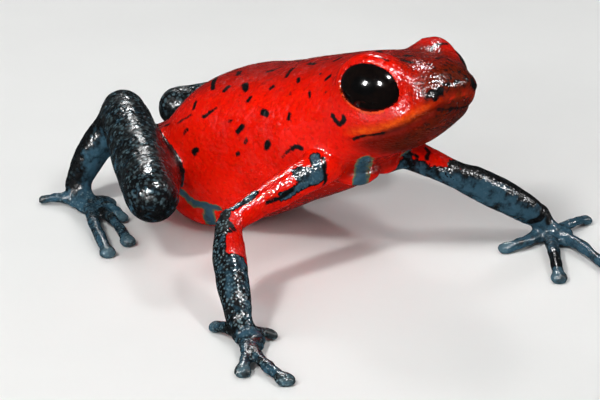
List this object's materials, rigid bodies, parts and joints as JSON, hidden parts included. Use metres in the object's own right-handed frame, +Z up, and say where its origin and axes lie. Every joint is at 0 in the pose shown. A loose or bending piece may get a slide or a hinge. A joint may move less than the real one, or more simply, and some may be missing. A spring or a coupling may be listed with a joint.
{
  "type": "poison dart frog",
  "caption": "Dart frog sitting up on its arms: plump tapered trunk, blunt head with bulging lidded eyes, folded hind legs, long digits that end in round discs.",
  "frame": {"origin": "on the floor, under the middle of the frog's overall box", "axes": "+Z up; the frog faces -Y and its left side is +X"},
  "size_m": [0.0268, 0.0268, 0.0107],
  "materials": {
    "red_skin": "wet gloss",
    "blue_skin": "wet gloss",
    "eye": "polished"
  },
  "bodies": {
    "root": {"torso": "red_skin", "head": "red_skin", "eye_left": "eye", "eye_right": "eye", "left_upper_arm": "red_skin", "left_forearm": "blue_skin", "left_hand": "blue_skin", "right_upper_arm": "red_skin", "right_forearm": "blue_skin", "right_hand": "blue_skin", "left_thigh": "blue_skin", "left_shank": "blue_skin", "left_tarsus": "blue_skin", "left_foot": "blue_skin", "right_thigh": "blue_skin", "right_shank": "blue_skin", "right_tarsus": "blue_skin", "right_foot": "blue_skin"}
  },
  "joints": []
}
